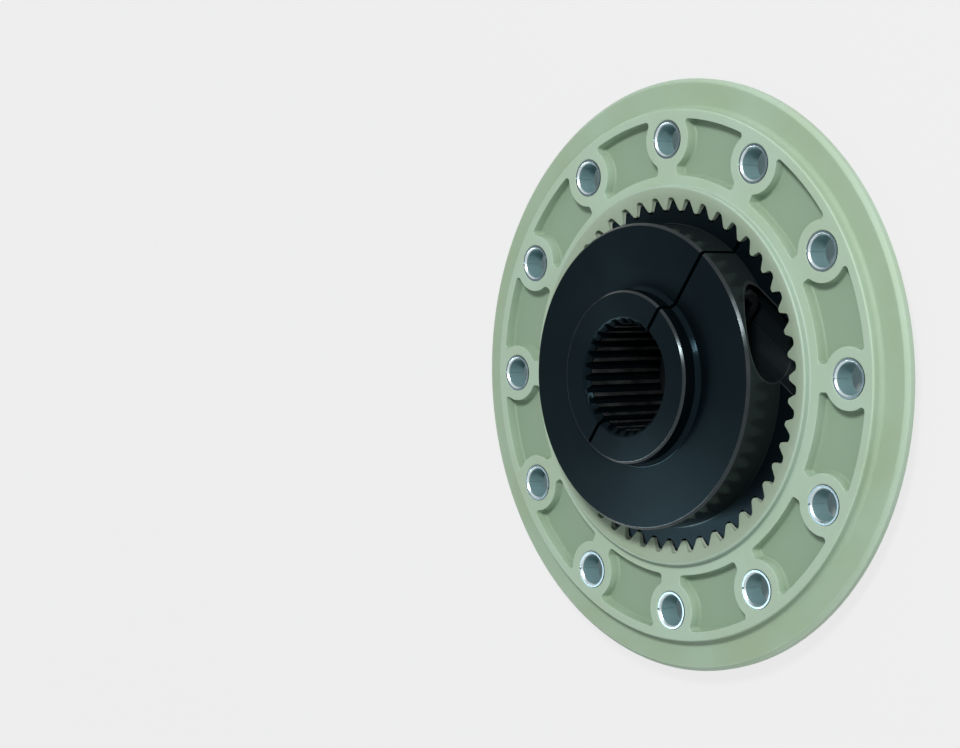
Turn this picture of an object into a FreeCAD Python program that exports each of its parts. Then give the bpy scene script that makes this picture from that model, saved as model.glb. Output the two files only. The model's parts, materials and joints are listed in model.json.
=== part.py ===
"""Flywheel coupling: a moulded polyamide flange with internal teeth, its split steel bolt sleeves,
and a splined steel clamp hub that plugs into the teeth.

The origin is the centre of the flange's back face, which lies against the flywheel. +Z runs
along the shaft towards the hub's nose, and +Y points at one bolt sleeve. All sizes are in
millimetres.
"""
import FreeCAD
import Part

import math
import os

# Flange: the disc that is bolted to the flywheel
pilot_radius = 157.15
lip_width = 16.25
lip_thickness = 6.0
lip_edge_bevel = 2.0
back_edge_chamfer = 0.8
floor_thickness = 5.5
rim_wall_thickness = 5.0
rim_wall_root_bevel = 1.6
moulded_edge_bevel = 0.6

# Bolt sleeves and the bosses that hold them
bolt_count = 12
sleeve_length = 12.0
sleeve_outer_radius = 10.0
sleeve_bore_radius = 8.0
sleeve_slot_width = 0.7
sleeve_bore_bevel = 0.9
boss_wall = 5.8
boss_hole_bevel = 0.6
boss_to_rim_wall = 10.9
neck_width = 14.0
pocket_corner_round = 2.0

# Toothed ring of the flange
tooth_count = 48
tooth_tip_radius = 87.5
tooth_depth = 6.6
tooth_round_depth = 0.7
gap_width = 6.4
flank_slope = math.tan(math.radians(23))
ring_height = 16.0
ring_wall = 6.3
shelf_width = 5.6

# Play between the flange's teeth and the hub's teeth
radial_play = 0.9
flank_play = 0.35

# Hub
hub_shoulder = 6.2
hub_face_height = 35.0
hub_tooth_height = 12.5
hub_tooth_crown = 0.9
hub_crown_flat = 0.2
hub_tooth_taper = 3.8
hub_edge_chamfer = 1.3
nose_radius = 45.3
nose_height = 10.0
rear_length = 12.0
nose_edge_chamfer = 1.1
nose_root_bevel = 2.0

# Splined bore, clamping slits and clamp screw
spline_count = 28
spline_tip_radius = 28.0
spline_depth = 2.0
spline_groove_width = 3.2
spline_slope = math.tan(math.radians(30))
bore_chamfer = 1.6
slit_width = 2.2
relief_slit_reach = 44.0
recess_radius = 15.0
bore_to_recess_wall = 17.0
screw_seat_distance = 10.0
screw_radius = 8.0
screw_hole_play = 0.75
screw_length = 50.0
screw_head_radius = 12.0
screw_head_height = 16.0
screw_head_bevel = 1.0
key_width = 14.0
key_depth = 8.0
drill_run_out = 2.0

# Sizes that follow from the ones above
tooth_root_radius = tooth_tip_radius + tooth_depth
tooth_pitch = 360.0 / tooth_count
bolt_pitch = 360.0 / bolt_count
boss_radius = sleeve_outer_radius + boss_wall
rim_wall_outer = pilot_radius - lip_width
rim_wall_inner = rim_wall_outer - rim_wall_thickness
bolt_circle_radius = rim_wall_inner - boss_to_rim_wall
ring_outer = tooth_root_radius + ring_wall
shelf_outer = ring_outer + shelf_width
hub_root_radius = tooth_tip_radius - radial_play
hub_tip_radius = tooth_root_radius - radial_play
hub_radius = hub_root_radius - hub_shoulder
nose_top = hub_face_height + nose_height
hub_length = nose_top + rear_length
spline_root_radius = spline_tip_radius + spline_depth
slit_angle = 90.0 - 5 * tooth_pitch
screw_offset = spline_root_radius + bore_to_recess_wall + recess_radius
screw_height = hub_face_height / 2
screw_hole_depth = screw_length + drill_run_out
past = 1.0

UP = FreeCAD.Vector(0, 0, 1)
CENTRE = FreeCAD.Vector(0, 0, 0)


def polar(radius, degrees, z=0.0):
    """Point at a radius and an angle counted from +X."""
    angle = math.radians(degrees)
    return FreeCAD.Vector(radius * math.cos(angle), radius * math.sin(angle), z)


def turned(outline):
    """Solid of revolution about Z from the (radius, height) corners of its section."""
    corners = [FreeCAD.Vector(radius, 0, height) for radius, height in outline]
    section = Part.Face(Part.makePolygon(corners + corners[:1]))
    return section.revolve(CENTRE, UP, 360)


def round_edges_at(solid, places):
    """Circular edges about Z, found by their radius and height."""
    found = []
    for edge in solid.Edges:
        if not isinstance(edge.Curve, Part.Circle):
            continue
        centre = edge.Curve.Center
        for radius, height in places:
            on_axis = math.hypot(centre.x, centre.y) < 0.01
            if on_axis and abs(edge.Curve.Radius - radius) < 0.01 and abs(centre.z - height) < 0.01:
                found.append(edge)
    return found


def toothed_outline(count, low, high, width, slope, round_depth, first_angle):
    """Closed outline of outward teeth between two radii, with straight flanks.

    Each tooth is width across at half its depth. Its tip and the gap beside it are arcs that
    take up round_depth, or stay on the two circles where round_depth is nothing.
    """
    middle = (low + high) / 2
    foot = low + round_depth
    shoulder = high - round_depth
    foot_half = math.degrees((width / 2 + (middle - foot) * slope) / foot)
    shoulder_half = math.degrees((width / 2 + (middle - shoulder) * slope) / shoulder)
    pitch = 360.0 / count
    edges = []
    for index in range(count):
        at = first_angle + index * pitch
        left_foot = polar(foot, at - foot_half)
        left_shoulder = polar(shoulder, at - shoulder_half)
        right_shoulder = polar(shoulder, at + shoulder_half)
        right_foot = polar(foot, at + foot_half)
        next_foot = polar(foot, at + pitch - foot_half)
        edges.append(Part.LineSegment(left_foot, left_shoulder).toShape())
        edges.append(Part.Arc(left_shoulder, polar(high, at), right_shoulder).toShape())
        edges.append(Part.LineSegment(right_shoulder, right_foot).toShape())
        edges.append(Part.Arc(right_foot, polar(low, at + pitch / 2), next_foot).toShape())
    return Part.Wire(edges)


def toothed_bar(outline, bottom, top):
    """The outline carried straight up from one height to another."""
    bar = Part.Face(outline).extrude(FreeCAD.Vector(0, 0, top - bottom))
    bar.translate(FreeCAD.Vector(0, 0, bottom))
    return bar


def pocket():
    """Space to clear between two neighbouring bosses, down to the flange's floor."""
    top = sleeve_length + past
    height = top - floor_thickness
    base = FreeCAD.Vector(0, 0, floor_thickness)
    space = Part.makeCylinder(rim_wall_inner, height, base)
    space = space.cut(Part.makeCylinder(shelf_outer, height, base))
    start = 90.0 - bolt_pitch
    wedge_corners = [CENTRE, polar(2 * pilot_radius, start), polar(2 * pilot_radius, start + bolt_pitch)]
    wedge = Part.Face(Part.makePolygon(wedge_corners + wedge_corners[:1]))
    space = space.common(wedge.extrude(FreeCAD.Vector(0, 0, 2 * top)))
    for angle in (start, start + bolt_pitch):
        boss = Part.makeCylinder(boss_radius, height, polar(bolt_circle_radius, angle, floor_thickness))
        neck_start = FreeCAD.Vector(0, -neck_width / 2, floor_thickness)
        neck = Part.makeBox(bolt_circle_radius, neck_width, height, neck_start)
        neck.rotate(CENTRE, UP, angle)
        space = space.cut([boss, neck])
    upright = [edge for edge in space.Edges if edge.BoundBox.ZLength > height / 2]
    return space.makeFillet(pocket_corner_round, upright)


def flange():
    """Moulded disc: lip, rim wall, bosses with their necks, stepped ring and internal teeth."""
    blank = turned([
        (tooth_tip_radius, 0),
        (pilot_radius, 0),
        (pilot_radius, lip_thickness),
        (rim_wall_outer, lip_thickness),
        (rim_wall_outer, sleeve_length),
        (ring_outer, sleeve_length),
        (ring_outer, ring_height),
        (tooth_tip_radius, ring_height),
    ])
    blank = blank.makeChamfer(back_edge_chamfer, round_edges_at(blank, [(pilot_radius, 0)]))
    blank = blank.makeChamfer(lip_edge_bevel, round_edges_at(blank, [(pilot_radius, lip_thickness)]))
    blank = blank.makeChamfer(rim_wall_root_bevel, round_edges_at(blank, [(rim_wall_outer, lip_thickness)]))
    tops = [(rim_wall_outer, sleeve_length), (ring_outer, ring_height), (ring_outer, sleeve_length)]
    blank = blank.makeChamfer(moulded_edge_bevel, round_edges_at(blank, tops))

    tools = [toothed_bar(gap_outline, -past, ring_height + past)]
    for index in range(bolt_count):
        space = pocket_shape.copy()
        space.rotate(CENTRE, UP, index * bolt_pitch)
        tools.append(space)
        at = polar(bolt_circle_radius, 90 + index * bolt_pitch)
        tools.append(Part.makeCylinder(sleeve_outer_radius, sleeve_length + 2 * past, at - UP * past))
        mouth = Part.makeCone(
            sleeve_outer_radius,
            sleeve_outer_radius + boss_hole_bevel + past,
            boss_hole_bevel + past,
            at + UP * (sleeve_length - boss_hole_bevel),
        )
        tools.append(mouth)
    return blank.cut(tools)


def sleeve(index):
    """Rolled steel sleeve with a bevelled bore and a slot along one side."""
    tube = turned([
        (sleeve_bore_radius, 0),
        (sleeve_outer_radius, 0),
        (sleeve_outer_radius, sleeve_length),
        (sleeve_bore_radius + sleeve_bore_bevel, sleeve_length),
        (sleeve_bore_radius, sleeve_length - sleeve_bore_bevel),
    ])
    slot_start = FreeCAD.Vector(-sleeve_outer_radius - past, -sleeve_slot_width / 2, -past)
    slot = Part.makeBox(sleeve_outer_radius + past, sleeve_slot_width, sleeve_length + 2 * past, slot_start)
    tube = tube.cut(slot)
    tube.translate(polar(bolt_circle_radius, 90 - index * bolt_pitch))
    return tube


def across_slit(solid):
    """Turn a solid made along +Z so that it lies on the screw's axis, with Z = 0 at the slit."""
    solid.rotate(CENTRE, FreeCAD.Vector(1, 0, 0), 90)
    solid.translate(FreeCAD.Vector(screw_offset, 0, screw_height))
    solid.rotate(CENTRE, UP, slit_angle)
    return solid


def hub_teeth():
    """External teeth on a rim that stands out of the hub's body, lowered towards both ends."""
    bar = toothed_bar(hub_outline, 0, hub_tooth_height)
    belly_radius = hub_tip_radius + hub_crown_flat
    end_radius = belly_radius - hub_tooth_crown
    barrel = turned([
        (0, 0),
        (end_radius, 0),
        (belly_radius, hub_tooth_taper),
        (belly_radius, hub_tooth_height - hub_tooth_taper),
        (end_radius, hub_tooth_height),
        (0, hub_tooth_height),
    ])
    return bar.common(barrel)


def hub():
    """Steel clamp hub: body with a nose at each end, toothed rim, splined bore, slits and screw recess."""
    body = turned([
        (0, -rear_length),
        (nose_radius, -rear_length),
        (nose_radius, 0),
        (hub_radius, 0),
        (hub_radius, hub_face_height),
        (nose_radius, hub_face_height),
        (nose_radius, nose_top),
        (0, nose_top),
    ])
    body = body.makeChamfer(hub_edge_chamfer, round_edges_at(body, [(hub_radius, hub_face_height)]))
    nose_edges = round_edges_at(body, [(nose_radius, nose_top), (nose_radius, -rear_length)])
    body = body.makeChamfer(nose_edge_chamfer, nose_edges)
    body = body.makeChamfer(nose_root_bevel, round_edges_at(body, [(nose_radius, hub_face_height)]))
    body = body.fuse(hub_teeth())

    start = -rear_length - past
    bore = toothed_bar(spline_outline, start, nose_top + past)
    narrow = spline_tip_radius - past
    wide = spline_root_radius + bore_chamfer + past
    mouth_height = wide - narrow
    upper_mouth = Part.makeCone(narrow, wide, mouth_height, UP * (nose_top + past - mouth_height))
    lower_mouth = Part.makeCone(wide, narrow, mouth_height, UP * start)
    slit_height = hub_length + 2 * past
    slit_start = FreeCAD.Vector(0, -slit_width / 2, start)
    slit = Part.makeBox(hub_tip_radius + past, slit_width, slit_height, slit_start)
    relief = Part.makeBox(relief_slit_reach, slit_width, slit_height, slit_start)
    relief.translate(FreeCAD.Vector(-relief_slit_reach, 0, 0))
    for cut in (slit, relief):
        cut.rotate(CENTRE, UP, slit_angle)

    recess = Part.makeCylinder(recess_radius, pilot_radius, UP * screw_seat_distance)
    clearance_hole = Part.makeCylinder(screw_radius + screw_hole_play, screw_seat_distance + past)
    thread_length = screw_hole_depth - screw_seat_distance
    threaded_hole = Part.makeCylinder(screw_radius, thread_length, UP * -thread_length)
    screw_space = across_slit(Part.Compound([recess, clearance_hole, threaded_hole]))
    return body.cut([bore, upper_mouth, lower_mouth, slit, relief] + screw_space.Solids)


def clamp_screw():
    """Socket head screw that closes the slit, its head on the seat of the recess."""
    head_top = screw_seat_distance + screw_head_height
    screw = turned([
        (0, screw_seat_distance - screw_length),
        (screw_radius - screw_head_bevel, screw_seat_distance - screw_length),
        (screw_radius, screw_seat_distance - screw_length + screw_head_bevel),
        (screw_radius, screw_seat_distance),
        (screw_head_radius, screw_seat_distance),
        (screw_head_radius, head_top - screw_head_bevel),
        (screw_head_radius - screw_head_bevel, head_top),
        (0, head_top),
    ])
    corner_radius = key_width / 2 / math.cos(math.radians(30))
    corners = [polar(corner_radius, 60 * side, head_top - key_depth) for side in range(7)]
    key_space = Part.Face(Part.makePolygon(corners)).extrude(UP * (key_depth + past))
    return across_slit(screw.cut(key_space))


def save(name, shape):
    """Write one node as a STEP file."""
    solids = shape.Solids
    if len(solids) != 1 or not solids[0].isValid():
        raise ValueError(name + " is not one valid solid")
    solids[0].exportStep("parts/" + name + ".step")


first_gap = 90 + tooth_pitch / 2
gap_outline = toothed_outline(
    tooth_count, tooth_tip_radius, tooth_root_radius, gap_width, flank_slope, tooth_round_depth, first_gap
)
hub_outline = toothed_outline(
    tooth_count, hub_root_radius, hub_tip_radius, gap_width - 2 * flank_play, flank_slope, 0, first_gap
)
spline_outline = toothed_outline(
    spline_count, spline_tip_radius, spline_root_radius, spline_groove_width, spline_slope, 0, slit_angle
)
pocket_shape = pocket()

os.makedirs("parts", exist_ok=True)
save("flange", flange())
for number in range(bolt_count):
    save("sleeve_%02d" % (number + 1), sleeve(number))
save("clamp_hub", hub())
save("clamp_screw", clamp_screw())
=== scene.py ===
"""Looks of the flywheel coupling: a moulded polyamide flange with steel bolt sleeves, and a
blackened steel clamp hub in its teeth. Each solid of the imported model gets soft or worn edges
and a finish, and keeps its size and place. Lengths are in metres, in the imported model's frame.
"""

import json
import math

import bmesh
import bpy
from mathutils import Matrix, Vector


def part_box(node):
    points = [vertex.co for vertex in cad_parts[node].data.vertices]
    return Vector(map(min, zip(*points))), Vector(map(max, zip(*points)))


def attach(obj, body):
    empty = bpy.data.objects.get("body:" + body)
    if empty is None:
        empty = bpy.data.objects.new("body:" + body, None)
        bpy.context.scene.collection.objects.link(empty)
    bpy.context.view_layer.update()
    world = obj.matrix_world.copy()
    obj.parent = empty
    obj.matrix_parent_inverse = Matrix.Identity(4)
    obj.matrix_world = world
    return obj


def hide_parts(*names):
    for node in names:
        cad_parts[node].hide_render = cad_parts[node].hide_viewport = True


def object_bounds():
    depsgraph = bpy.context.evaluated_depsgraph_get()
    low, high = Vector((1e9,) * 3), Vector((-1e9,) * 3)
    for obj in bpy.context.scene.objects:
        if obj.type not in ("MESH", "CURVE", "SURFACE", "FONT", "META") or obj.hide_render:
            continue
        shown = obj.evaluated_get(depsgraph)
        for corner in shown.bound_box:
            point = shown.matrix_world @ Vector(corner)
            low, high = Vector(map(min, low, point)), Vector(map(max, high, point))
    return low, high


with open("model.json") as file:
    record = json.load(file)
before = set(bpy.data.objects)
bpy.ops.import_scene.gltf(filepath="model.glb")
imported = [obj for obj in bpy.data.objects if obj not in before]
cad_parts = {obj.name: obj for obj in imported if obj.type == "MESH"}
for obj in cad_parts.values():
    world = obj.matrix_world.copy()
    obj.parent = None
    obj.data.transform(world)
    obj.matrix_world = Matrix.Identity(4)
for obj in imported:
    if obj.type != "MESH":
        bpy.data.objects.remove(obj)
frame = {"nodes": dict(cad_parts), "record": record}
cad_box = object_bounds()

MM = 0.001

# Heights and radii of the solids, by which their edges are found
_, flange_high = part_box("flange")
hub_low, hub_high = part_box("clamp_hub")
pilot_radius = flange_high.x
ring_height = flange_high.z
nose_top = hub_high.z
lip_thickness = 6.0 * MM
lip_edge_bevel = 2.0 * MM
floor_thickness = 5.5 * MM
boss_height = 12.0 * MM
boss_radius = 15.8 * MM
boss_hole_bevel = 0.6 * MM
rim_wall_inner = 135.9 * MM
rim_wall_outer = 140.9 * MM
rim_wall_root_bevel = 1.6 * MM
moulded_edge_bevel = 0.6 * MM
ring_outer = 100.4 * MM
tooth_count = 48
tooth_root_radius = 94.1 * MM
bolt_count = 12
bolt_circle_radius = 125.0 * MM
sleeve_radius = 10.0 * MM
sleeve_bore_radius = 8.0 * MM
sleeve_bore_bevel = 0.9 * MM
sleeve_slot_width = 0.7 * MM
hub_radius = 80.4 * MM
hub_face_height = 35.0 * MM
hub_edge_chamfer = 1.3 * MM
nose_radius = 45.3 * MM
nose_edge_chamfer = 1.1 * MM
nose_root_bevel = 2.0 * MM
spline_tip_radius = 28.0 * MM
spline_root_radius = 30.0 * MM
slit_angle = math.radians(52.5)
screw_offset = 62.0 * MM
screw_height = 17.5 * MM
screw_seat_distance = 10.0 * MM
recess_radius = 15.0 * MM

# Small shapes and wear that are made here alone
lead_in_radius = 96.5 * MM
lead_in_slope = math.tan(math.radians(15))
closed_slot_width = 0.12 * MM
recess_wear = 0.7 * MM

# Tolerances for joining, cutting and finding edges
weld_distance = 0.002 * MM
cut_distance = 0.001 * MM
near = 0.06 * MM
flat_angle = math.radians(0.5)
sharp_angle = math.radians(24)
crisp_angle = math.radians(50)


# Mesh work on copies of the solids


def merged_copy(node):
    """Bmesh of a solid, its loose triangles joined into flat faces."""
    mesh = bmesh.new()
    mesh.from_mesh(frame["nodes"][node].data)
    bmesh.ops.remove_doubles(mesh, verts=mesh.verts, dist=weld_distance)
    bmesh.ops.dissolve_limit(
        mesh, angle_limit=flat_angle, use_dissolve_boundaries=False,
        verts=mesh.verts, edges=mesh.edges, delimit=set(),
    )
    return mesh


def split_round(mesh, planes, first_angle, centre=(0, 0, 0)):
    """Cuts the faces by planes through an upright axis, so that no flat face runs round a hole."""
    for index in range(planes):
        angle = math.radians(first_angle) + index * math.pi / planes
        bmesh.ops.bisect_plane(
            mesh, geom=mesh.verts[:] + mesh.edges[:] + mesh.faces[:], dist=cut_distance,
            plane_co=centre, plane_no=(-math.sin(angle), math.cos(angle), 0),
        )


def reach(point):
    """Distance from the shaft's axis."""
    return math.hypot(point.x, point.y)


def bolt_distance(point):
    """Distance from the axis of the nearest bolt."""
    step = math.tau / bolt_count
    turn = round(math.atan2(point.y, point.x) / step) * step
    return math.hypot(
        point.x - bolt_circle_radius * math.cos(turn), point.y - bolt_circle_radius * math.sin(turn)
    )


def on_circle(edge, radius, height, distance=reach):
    """True for an edge of a level circle about the shaft's axis or a bolt's axis."""
    return all(
        abs(distance(vert.co) - radius) < near and abs(vert.co.z - height) < near for vert in edge.verts
    )


def level_at(edge, height):
    """True for an edge that lies at one height."""
    return all(abs(vert.co.z - height) < near for vert in edge.verts)


def middle(edge):
    """Point halfway along an edge."""
    return (edge.verts[0].co + edge.verts[1].co) / 2


def round_off(mesh, wanted, width, segments, worn=False):
    """Rounds the sharp edges that a test picks, and gives a worn one the second finish."""
    edges = [
        edge for edge in mesh.edges
        if len(edge.link_faces) == 2 and edge.calc_face_angle() > sharp_angle and wanted(edge)
    ]
    made = bmesh.ops.bevel(
        mesh, geom=edges, offset=width, offset_type="OFFSET", affect="EDGES", segments=segments,
        profile=0.5, material=-1, clamp_overlap=True,
    )
    if worn:
        for face in made["faces"]:
            face.material_index = 1


def circle_test(places, distance=reach):
    """Test for edges on any of several (radius, height) circles."""
    return lambda edge: any(on_circle(edge, radius, height, distance) for radius, height in places)


def wear_slopes(mesh, radius, height, chamfer):
    """Gives the sloping faces of a chamfer below a round edge the second finish."""
    for face in mesh.faces:
        at = face.calc_center_median()
        on_band = abs(reach(at) - radius + chamfer / 2) < 0.7 * chamfer
        below_edge = 0 < height - at.z < 1.3 * chamfer
        if on_band and below_edge and 0.2 < face.normal.z < 0.97:
            face.material_index = 1


def stand_in(mesh, node, *finishes):
    """Object made of a finished bmesh, which takes the place of a solid on the solid's own body."""
    for face in mesh.faces:
        face.smooth = True
    # Edges past the crisp angle, such as a slot's, don't bend the shading beside them
    for edge in mesh.edges:
        edge.smooth = len(edge.link_faces) == 2 and edge.calc_face_angle() < crisp_angle
    data = bpy.data.meshes.new(node + "_finished")
    mesh.to_mesh(data)
    mesh.free()
    piece = bpy.data.objects.new(node + "_finished", data)
    bpy.context.scene.collection.objects.link(piece)
    flat_faces_first = piece.modifiers.new("flat_faces_first", "WEIGHTED_NORMAL")
    flat_faces_first.mode = "FACE_AREA"
    flat_faces_first.weight = 50
    flat_faces_first.keep_sharp = True
    for finish in finishes:
        data.materials.append(finish)
    record = frame["record"]
    body = next(name for name, nodes in record["behaviour"]["bodies"].items() if node in nodes)
    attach(piece, body)
    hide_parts(node)
    return piece


def lead_in_height(point):
    """Height of the tooth tops, which fall gently towards the shaft to lead the hub in."""
    return ring_height - max(0.0, lead_in_radius - reach(point)) * lead_in_slope


def slope_tooth_tops(mesh):
    """Folds the ring's top face down along a circle just outside the teeth."""

    def cut(faces, point, normal):
        verts = list({vert for face in faces for vert in face.verts})
        edges = list({edge for face in faces for edge in face.edges})
        bmesh.ops.bisect_plane(
            mesh, geom=verts + edges + faces, dist=cut_distance, plane_co=point, plane_no=normal,
        )

    def top_faces(wanted):
        return [
            face for face in mesh.faces
            if all(abs(vert.co.z - ring_height) < near for vert in face.verts)
            and wanted(face.calc_center_median())
        ]

    pitch = math.tau / tooth_count
    for index in range(tooth_count // 2):
        angle = (index + 0.5) * pitch
        cut(top_faces(lambda at: True), (0, 0, 0), (-math.sin(angle), math.cos(angle), 0))
    for index in range(tooth_count):
        outward = Vector((math.cos(index * pitch), math.sin(index * pitch), 0))
        sector = top_faces(lambda at: at.xy.normalized().dot(outward.xy) > math.cos(pitch / 2))
        cut(sector, outward * lead_in_radius, outward)
    for vert in mesh.verts:
        if abs(vert.co.z - ring_height) < near:
            vert.co.z = lead_in_height(vert.co)


def moulded_flange(finish):
    """Flange with the soft edges of a moulding."""
    mesh = merged_copy("flange")
    split_round(mesh, planes=6, first_angle=15)
    slope_tooth_tops(mesh)

    def pocket_floor(edge):
        return level_at(edge, floor_thickness)

    def pocket_rim(edge):
        at = middle(edge)
        return level_at(edge, boss_height) and ring_outer + 2 * MM < reach(at) < rim_wall_inner + near \
            and bolt_distance(at) > boss_radius - 0.5 * MM

    def tooth_corner(edge):
        first, second = (vert.co for vert in edge.verts)
        return abs(first.z - second.z) > 0.8 * boss_height and reach(first) < tooth_root_radius + near

    def tooth_top(edge):
        return reach(middle(edge)) < tooth_root_radius + near \
            and all(abs(vert.co.z - lead_in_height(vert.co)) < near for vert in edge.verts)

    lip = circle_test([
        (pilot_radius, lip_thickness - lip_edge_bevel), (pilot_radius - lip_edge_bevel, lip_thickness),
    ])
    wall_root = circle_test([
        (rim_wall_outer, lip_thickness + rim_wall_root_bevel),
        (rim_wall_outer + rim_wall_root_bevel, lip_thickness),
    ])
    tops = circle_test([
        (rim_wall_outer, boss_height - moulded_edge_bevel),
        (rim_wall_outer - moulded_edge_bevel, boss_height),
        (ring_outer, ring_height - moulded_edge_bevel), (ring_outer - moulded_edge_bevel, ring_height),
        (ring_outer, boss_height + moulded_edge_bevel), (ring_outer + moulded_edge_bevel, boss_height),
    ])
    mouths = circle_test([(sleeve_radius + boss_hole_bevel, boss_height)], bolt_distance)
    round_off(mesh, tooth_corner, width=0.4 * MM, segments=2)
    round_off(mesh, tooth_top, width=0.35 * MM, segments=2)
    round_off(mesh, pocket_floor, width=1.4 * MM, segments=4)
    round_off(mesh, pocket_rim, width=0.9 * MM, segments=3)
    round_off(mesh, lip, width=1.35 * MM, segments=4)
    round_off(mesh, wall_root, width=1.05 * MM, segments=3)
    round_off(mesh, tops, width=0.4 * MM, segments=2)
    round_off(mesh, mouths, width=0.4 * MM, segments=2)
    return stand_in(mesh, "flange", finish)


def bolt_sleeve(number, finish, bore_finish, mouth_finish):
    """Rolled sleeve with a bead at each end; its slot is all but closed, and notched at the ends."""
    node = "sleeve_%02d" % (number + 1)
    angle = math.radians(90 - number * 360 / bolt_count)
    centre = Vector((bolt_circle_radius * math.cos(angle), bolt_circle_radius * math.sin(angle), 0))
    mesh = merged_copy(node)
    split_round(mesh, planes=2, first_angle=45, centre=centre)
    rims = circle_test([(sleeve_radius, 0), (sleeve_radius, boss_height)], bolt_distance)
    bore = circle_test([
        (sleeve_bore_radius, boss_height - sleeve_bore_bevel),
        (sleeve_bore_radius + sleeve_bore_bevel, boss_height),
    ], bolt_distance)

    def beside_slot(vert):
        return abs(abs(vert.co.y - centre.y) - sleeve_slot_width / 2) < near and vert.co.x < centre.x

    def slot_end(edge):
        return all(beside_slot(vert) for vert in edge.verts) \
            and (level_at(edge, 0) or level_at(edge, boss_height))

    round_off(mesh, slot_end, width=0.3 * MM, segments=2)
    for vert in mesh.verts:
        if beside_slot(vert):
            inward = 1 if vert.co.y < centre.y else -1
            vert.co.y += inward * (sleeve_slot_width - closed_slot_width) / 2
    round_off(mesh, rims, width=0.55 * MM, segments=3)
    round_off(mesh, bore, width=0.4 * MM, segments=3)
    for face in mesh.faces:
        from_axis = bolt_distance(face.calc_center_median())
        if from_axis < sleeve_bore_radius + near:
            face.material_index = 1
        elif from_axis < sleeve_bore_radius + sleeve_bore_bevel + 0.2 * MM and face.normal.z < 0.98:
            face.material_index = 2
    return stand_in(mesh, node, finish, bore_finish, mouth_finish)


def turned_hub(finish, worn_finish, land_finish):
    """Hub with a hollow round at the foot of its nose, and edges worn bright."""
    mesh = merged_copy("clamp_hub")
    split_round(mesh, planes=6, first_angle=0)
    along_slit = Vector((math.cos(slit_angle), math.sin(slit_angle), 0))
    screw_axis = Vector((math.sin(slit_angle), -math.cos(slit_angle), 0))
    screw_point = along_slit * screw_offset + Vector((0, 0, screw_height))

    def recess_rim(edge):
        for vert in edge.verts:
            away = vert.co - screw_point
            along = away.dot(screw_axis)
            if abs((away - screw_axis * along).length - recess_radius) > near:
                return False
            if along < screw_seat_distance + near:
                return False
        return True

    face_edges = circle_test([
        (hub_radius, hub_face_height - hub_edge_chamfer),
        (hub_radius - hub_edge_chamfer, hub_face_height),
        (nose_radius, nose_top - nose_edge_chamfer), (nose_radius - nose_edge_chamfer, nose_top),
        (nose_radius, hub_low.z + nose_edge_chamfer), (nose_radius - nose_edge_chamfer, hub_low.z),
    ])
    nose_root = circle_test([
        (nose_radius, hub_face_height + nose_root_bevel),
        (nose_radius + nose_root_bevel, hub_face_height),
    ])

    def bore_mouth(edge):
        return level_at(edge, nose_top) and reach(middle(edge)) < spline_root_radius + near

    round_off(mesh, nose_root, width=1.3 * MM, segments=4)
    round_off(mesh, bore_mouth, width=0.35 * MM, segments=2, worn=True)
    round_off(mesh, face_edges, width=0.45 * MM, segments=3, worn=True)
    round_off(mesh, recess_rim, width=0.6 * MM, segments=2, worn=True)
    wear_slopes(mesh, hub_radius, hub_face_height, hub_edge_chamfer)
    wear_slopes(mesh, nose_radius, nose_top, nose_edge_chamfer)
    for face in mesh.faces:
        at = face.calc_center_median()
        if abs(reach(at) - spline_tip_radius) < 0.15 * MM and abs(face.normal.z) < 0.1:
            face.material_index = 2
    return stand_in(mesh, "clamp_hub", finish, worn_finish, land_finish)


def screw(finish):
    """Clamp screw with broken edges."""
    mesh = merged_copy("clamp_screw")
    round_off(mesh, lambda edge: True, width=0.25 * MM, segments=2)
    return stand_in(mesh, "clamp_screw", finish)


# Finishes


class Value:
    """One output of a node; sums, differences and products of it add Math nodes."""

    def __init__(self, nodes, socket):
        self.nodes = nodes
        self.socket = socket

    def __add__(self, other):
        return self.nodes.math("ADD", self, other)

    def __sub__(self, other):
        return self.nodes.math("SUBTRACT", self, other)

    def __rsub__(self, other):
        return self.nodes.math("SUBTRACT", other, self)

    def __mul__(self, other):
        return self.nodes.math("MULTIPLY", self, other)

    __radd__ = __add__
    __rmul__ = __mul__


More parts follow.
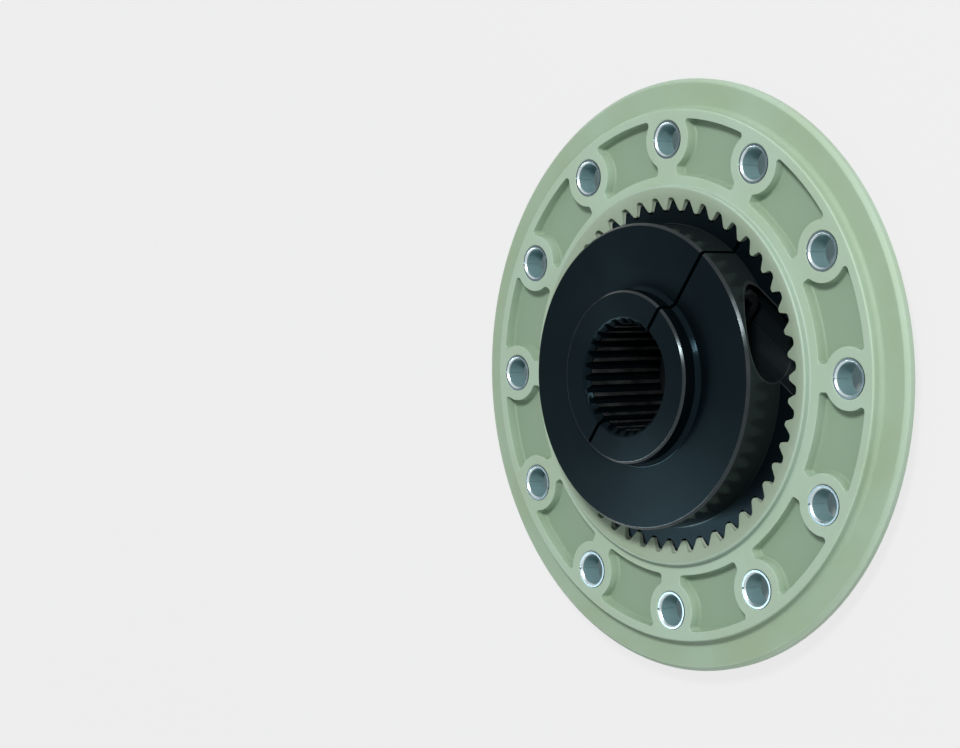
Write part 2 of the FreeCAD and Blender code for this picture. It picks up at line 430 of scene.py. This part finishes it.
class Nodes:
    """The nodes of a material or of the sky."""

    def __init__(self, tree):
        self.tree = tree

    def node(self, kind, settings=None, inputs=None, output=0):
        """New node with its settings made first, then its inputs set or linked."""
        node = self.tree.nodes.new(kind)
        for setting, value in (settings or {}).items():
            setattr(node, setting, value)
        for key, value in (inputs or {}).items():
            if isinstance(value, Value):
                self.tree.links.new(value.socket, node.inputs[key])
            else:
                node.inputs[key].default_value = value
        return Value(self, node.outputs[output])

    def math(self, operation, first, second=0.0):
        """Math node."""
        return self.node("ShaderNodeMath", {"operation": operation}, {0: first, 1: second})

    def place(self):
        """Object coordinates, in metres."""
        return self.node("ShaderNodeTexCoord", output=3)

    def axes(self):
        """The three object coordinates by themselves."""
        node = self.tree.nodes.new("ShaderNodeSeparateXYZ")
        self.tree.links.new(self.place().socket, node.inputs[0])
        return [Value(self, output) for output in node.outputs]

    def noise(self, scale, detail, vector=None):
        """Soft noise from 0 to 1 with a grain of about 1 / scale metres."""
        return self.node("ShaderNodeTexNoise", {}, {
            "Vector": vector or self.place(), "Scale": scale, "Detail": detail,
        })

    def blend(self, factor, first, second):
        """Mix of two colours, each of them plain or already mixed."""
        first, second = (each if isinstance(each, Value) else (*each, 1) for each in (first, second))
        inputs = {0: factor, 6: first, 7: second}
        return self.node("ShaderNodeMix", {"data_type": "RGBA"}, inputs, output=2)

    def span(self, value, low, high, to_low=0.0, to_high=1.0):
        """A value stretched from one range to another, and held there."""
        return self.node("ShaderNodeMapRange", {"clamp": True}, {
            0: value, 1: low, 2: high, 3: to_low, 4: to_high,
        })

    def bump(self, height, distance, strength):
        """Normal of a surface roughened by a height from 0 to 1."""
        return self.node("ShaderNodeBump", {}, {
            "Height": height, "Distance": distance, "Strength": strength,
        })

    def seen_rays(self):
        """1 for what the camera sees, straight or in a reflection or through glass, and 0 otherwise."""
        path = self.tree.nodes.new("ShaderNodeLightPath")
        kinds = ("Is Camera Ray", "Is Glossy Ray", "Is Transmission Ray")
        camera, glossy, through = (Value(self, path.outputs[kind]) for kind in kinds)
        return self.math("MAXIMUM", self.math("MAXIMUM", camera, glossy), through)


class Finish(Nodes):
    """A material, and the nodes that vary it over a surface."""

    def __init__(self, name, **constants):
        self.material = bpy.data.materials.new(name)
        self.material.use_nodes = True
        super().__init__(self.material.node_tree)
        self.shader = self.tree.nodes["Principled BSDF"]
        for socket, value in constants.items():
            self.shader.inputs[socket.replace("_", " ")].default_value = value

    def feed(self, socket, value):
        """Links a value to a socket of the shader."""
        self.tree.links.new(value.socket, self.shader.inputs[socket])


def polyamide():
    """Natural polyamide, pale grey green and faintly cloudy, with painted shade in its pocket floors,
    painted light on its tooth flanks and the ring's outer step, and a painted glow at the lip's edge.
    """
    finish = Finish(
        "polyamide", Specular_IOR_Level=0.22, Subsurface_Weight=0.22, Subsurface_Scale=4 * MM,
        Subsurface_Radius=(0.8, 1.0, 0.7),
    )
    cloud = finish.noise(26, 3)
    grain = finish.noise(900, 2)
    clouded = finish.span(cloud, 0.35, 0.65)
    lip = finish.blend(clouded, (0.335, 0.435, 0.30), (0.36, 0.475, 0.355))
    raised = finish.blend(clouded, (0.40, 0.51, 0.38), (0.42, 0.545, 0.43))
    ring = finish.blend(clouded, (0.335, 0.42, 0.305), (0.355, 0.445, 0.34))
    # The ring's outer step is painted lighter: a painted highlight where the lamps fall on its outward
    # wall
    step = (0.395, 0.51, 0.415)
    # The tooth flanks are painted much lighter: painted light that stands in for light glowing through
    # the thin teeth
    painted_flank_glow = (0.66, 0.74, 0.62)
    # The pocket floors are painted darker: painted shade in the pockets' hollows
    pocket_floor = (0.275, 0.375, 0.27)

    x, y, z = finish.axes()
    radius = finish.math("SQRT", x * x + y * y)
    above_lip = finish.span(z, lip_thickness, boss_height)
    # The lip's rounded outer edge takes the lighter raised tone: a painted glow at the edge
    painted_rim_glow = finish.span(radius, pilot_radius - 3 * MM, pilot_radius - 1 * MM)
    on_ring = finish.span(z, boss_height + 0.5 * MM, boss_height + 1.5 * MM)
    # Mask of the ring's outer step, where the painted highlight goes
    off_step = finish.math("ABSOLUTE", radius - (ring_outer - 0.2 * MM))
    on_step = finish.span(off_step, 0.6 * MM, 1.4 * MM, 1, 0) \
        * finish.span(z, floor_thickness, boss_height)
    # Mask of the tooth flanks, where the painted light goes
    on_flank = finish.span(radius, tooth_root_radius + 0.2 * MM, tooth_root_radius + 0.8 * MM, 1, 0) \
        * finish.span(z, boss_height, boss_height + 1.2 * MM, 1, 0)
    # Mask of the pocket floors, where the painted shade goes
    in_pocket = finish.span(z, floor_thickness + 0.3 * MM, floor_thickness + 1.6 * MM, 1, 0) \
        * finish.span(radius, rim_wall_inner, rim_wall_outer, 1, 0)

    body = finish.blend(finish.math("MAXIMUM", above_lip, painted_rim_glow), lip, raised)
    body = finish.blend(on_ring, body, ring)
    body = finish.blend(on_step, body, step)
    body = finish.blend(on_flank, body, painted_flank_glow)
    finish.feed("Base Color", finish.blend(in_pocket, body, pocket_floor))
    finish.feed("Roughness", finish.span(cloud + grain * 0.5, 0.5, 1.0, 0.40, 0.52))
    finish.feed("Normal", finish.bump(grain, 0.05 * MM, 0.35))
    return finish.material


def blackened_steel():
    """Black oxide over fine turning marks, round on the faces."""
    finish = Finish(
        "blackened_steel", Metallic=0.6, Specular_IOR_Level=0.045, Specular_Tint=(0.55, 0.6, 0.62, 1),
        Anisotropic=0.5, Anisotropic_Rotation=0.25,
    )
    x, y, z = finish.axes()
    radius = finish.math("SQRT", x * x + y * y)
    marks_per_metre = 5000
    across_marks = {0: radius * marks_per_metre, 1: z * marks_per_metre}
    rings = finish.noise(1.0, 3, finish.node("ShaderNodeCombineXYZ", {}, across_marks))
    patches = finish.noise(30, 3)

    # Places: the foot of the nose, the side of the body, and the recess about the screw's axis
    off_root = finish.math("ABSOLUTE", radius - (nose_radius + nose_root_bevel / 2)) \
        + finish.math("ABSOLUTE", z - (hub_face_height + nose_root_bevel / 2))
    at_root = finish.span(off_root, 1.1 * nose_root_bevel, 1.6 * nose_root_bevel, 1, 0)
    off_side = finish.math("ABSOLUTE", radius - hub_radius)
    on_side = finish.span(off_side, 0.15 * MM, 0.4 * MM, 1, 0)
    along = x * math.sin(slit_angle) - y * math.cos(slit_angle)
    beside = x * math.cos(slit_angle) + y * math.sin(slit_angle) - screw_offset
    above = z - screw_height
    from_screw = finish.math("SQRT", beside * beside + above * above)
    off_recess_edge = finish.math("ABSOLUTE", from_screw - (recess_radius + recess_wear / 2))
    at_recess_edge = finish.span(off_recess_edge, 0.35 * recess_wear, 0.55 * recess_wear, 1, 0) \
        * finish.span(along, screw_seat_distance, screw_seat_distance + MM)
    outside_recess = finish.span(from_screw, recess_radius, recess_radius + recess_wear)

    black = finish.blend(patches, (0.0028, 0.0058, 0.0077), (0.004, 0.0085, 0.0107))
    black = finish.blend(at_root, black, (0.005, 0.0105, 0.0135))
    black = finish.blend(on_side, black, (0.026, 0.036, 0.037))
    finish.feed("Base Color", finish.blend(at_recess_edge, black, (0.05, 0.06, 0.062)))
    turned = finish.span(patches + rings * 0.3, 0.4, 0.9, 0.29, 0.37)
    finish.feed("Roughness", turned - finish.math("MAXIMUM", at_root, on_side) * 0.18)
    finish.feed("Normal", finish.bump(rings * outside_recess, 0.003 * MM, 0.2))
    return finish.material


def worn_steel():
    """Edges where the black has rubbed thin and the steel shines through."""
    finish = Finish("worn_steel", Metallic=1.0)
    patches = finish.noise(70, 3)
    finish.feed("Base Color", finish.blend(patches, (0.028, 0.035, 0.037), (0.055, 0.066, 0.069)))
    finish.feed("Roughness", finish.span(patches, 0.3, 0.7, 0.14, 0.24))
    return finish.material


def worn_lands():
    """Spline lands rubbed bright by the shaft."""
    finish = Finish("worn_lands", Metallic=1.0)
    patches = finish.noise(120, 3)
    finish.feed("Base Color", finish.blend(patches, (0.14, 0.155, 0.16), (0.26, 0.275, 0.275)))
    finish.feed("Roughness", finish.span(patches, 0.3, 0.7, 0.35, 0.5))
    return finish.material


def dull_bore():
    """Inside of a rolled sleeve, where the plating is thin and dull."""
    finish = Finish("dull_bore", Metallic=0.1, Specular_IOR_Level=0.4)
    patches = finish.noise(220, 3)
    finish.feed("Base Color", finish.blend(patches, (0.18, 0.30, 0.315), (0.22, 0.35, 0.365)))
    finish.feed("Roughness", finish.span(patches, 0.3, 0.7, 0.45, 0.6))
    return finish.material


def zinc_plate(name, darker, lighter):
    """Bright zinc over rolled steel."""
    finish = Finish(name, Metallic=1.0)
    patches = finish.noise(160, 3)
    grain = finish.noise(2600, 2)
    finish.feed("Base Color", finish.blend(patches, darker, lighter))
    finish.feed("Roughness", finish.span(patches + grain * 0.4, 0.45, 0.95, 0.24, 0.40))
    finish.feed("Normal", finish.bump(grain, 0.01 * MM, 0.3))
    return finish.material


def screw_steel():
    """Blackened screw steel."""
    finish = Finish("screw_steel", Metallic=0.6, Specular_IOR_Level=0.5)
    patches = finish.noise(200, 3)
    finish.feed("Base Color", finish.blend(patches, (0.012, 0.015, 0.017), (0.03, 0.035, 0.04)))
    finish.feed("Roughness", finish.span(patches, 0.3, 0.7, 0.3, 0.45))
    return finish.material


# Studio

background = (0.87, 0.87, 0.87)
floor_half_width = 8
floor_clearance = 0.1 * MM

# Painted shade on the floor under the flange: the radii between which it fades out, and how far its
# middle lies from the shaft's axis, away from the camera
shade_inner = 141 * MM
shade_outer = 152 * MM
shade_shift = 6 * MM


def backdrop_floor():
    """Pale floor that shows one even tone to the camera, with painted shade under the flange mixed with
    its real shadow, and a painted dark patch under the hub.
    """
    mesh = bmesh.new()
    bmesh.ops.create_grid(mesh, x_segments=1, y_segments=1, size=floor_half_width)
    data = bpy.data.meshes.new("floor")
    mesh.to_mesh(data)
    mesh.free()
    floor = bpy.data.objects.new("floor", data)
    bpy.context.scene.collection.objects.link(floor)
    floor.location.z = cad_box[0][2] - floor_clearance
    finish = Finish("floor", Roughness=1.0, Specular_IOR_Level=0.0)
    x, y, _ = finish.axes()
    across = x + shade_shift
    radius = finish.math("SQRT", across * across + y * y)
    # Painted shadow: the floor under the hub is painted near black, in both its colour and its glow
    under_hub = finish.span(radius, 50 * MM, 80 * MM)
    finish.feed("Base Color", finish.blend(under_hub, (0.01, 0.01, 0.01), (0.8, 0.8, 0.8)))
    # Painted shade: under the flange the floor glows a dim blue grey; beyond it, the even background
    open_floor = finish.span(radius, shade_inner, shade_outer)
    painted_shade = finish.blend(under_hub, (0.006, 0.007, 0.008), (0.15, 0.235, 0.26))
    shown = finish.blend(open_floor, painted_shade, background)
    glow = finish.node("ShaderNodeEmission", {}, {"Color": shown, "Strength": 1.0})
    # The painted shade is mixed in at 0.4, so the floor's real shadow still shows with it
    share = finish.span(open_floor, 0, 1, 0.4, 0.9) + finish.span(radius, 0.5, 2.0, 0, 0.1)
    mixed = finish.node("ShaderNodeMixShader", {}, {
        0: finish.seen_rays() * share, 1: Value(finish, finish.shader.outputs[0]), 2: glow,
    })
    finish.tree.links.new(mixed.socket, finish.tree.nodes["Material Output"].inputs["Surface"])
    data.materials.append(finish.material)


def sky():
    """Even surroundings: the pale background where it is seen, and a softer light on the object."""
    world = bpy.data.worlds.new("studio")
    bpy.context.scene.world = world
    world.use_nodes = True
    nodes = Nodes(world.node_tree)
    soft = nodes.node("ShaderNodeBackground", {}, {"Color": (0.92, 0.97, 1.0, 1), "Strength": 0.38})
    shown = nodes.node("ShaderNodeBackground", {}, {"Color": (*background, 1), "Strength": 1.0})
    mixed = nodes.node("ShaderNodeMixShader", {}, {0: nodes.seen_rays(), 1: soft, 2: shown})
    nodes.tree.links.new(mixed.socket, nodes.tree.nodes["World Output"].inputs["Surface"])


def lamp(name, towards, distance, size, watts, colour=(1, 1, 1), shines_on=()):
    """Soft square lamp that shines at the object's middle, on all pieces or on those given."""
    light = bpy.data.lights.new(name, "AREA")
    light.size = size
    light.energy = watts
    light.color = colour
    holder = bpy.data.objects.new(name, light)
    bpy.context.scene.collection.objects.link(holder)
    if shines_on:
        lit = bpy.data.collections.new(name + "_pieces")
        for piece in shines_on:
            lit.objects.link(piece)
        holder.light_linking.receiver_collection = lit
    direction = Vector(towards).normalized()
    holder.location = direction * distance
    holder.rotation_euler = direction.to_track_quat("Z", "Y").to_euler()


def photo_camera():
    """Camera at the photograph's viewing angle."""
    right = Vector((0.62977, -0.01093, -0.77671))
    up = Vector((-0.01198, 0.99965, -0.02377))
    back = Vector((0.77669, 0.02428, 0.62941))
    data = bpy.data.cameras.new("camera")
    data.lens = 80.625
    data.sensor_width = 36
    data.clip_start = 0.05
    data.clip_end = 50
    camera = bpy.data.objects.new("camera", data)
    bpy.context.scene.collection.objects.link(camera)
    place = Vector((0.82302, 0.02963, 0.80772))
    camera.matrix_world = Matrix.Translation(place) @ Matrix((right, up, back)).transposed().to_4x4()
    bpy.context.scene.camera = camera


zinc = zinc_plate("zinc_plate", (0.095, 0.132, 0.15), (0.13, 0.172, 0.195))
bore = dull_bore()
mouth = zinc_plate("polished_mouth", (0.50, 0.58, 0.60), (0.64, 0.72, 0.74))
moulded_flange(polyamide())
steel_pieces = [bolt_sleeve(number, zinc, bore, mouth) for number in range(bolt_count)]
steel_pieces.append(turned_hub(blackened_steel(), worn_steel(), worn_lands()))
steel_pieces.append(screw(screw_steel()))

backdrop_floor()
sky()
lamp("key", towards=(0.50, 0.42, 0.75), distance=3.4, size=0.55, watts=85)
lamp("side_fill", towards=(0.93, 0.12, 0.30), distance=4.0, size=2.2, watts=17)
lamp(
    "left_sheen", towards=(-0.63, -0.39, 0.70), distance=1.1, size=0.4, watts=10,
    colour=(0.9, 0.98, 1.0), shines_on=steel_pieces,
)
photo_camera()
bpy.context.scene.view_settings.view_transform = "Standard"
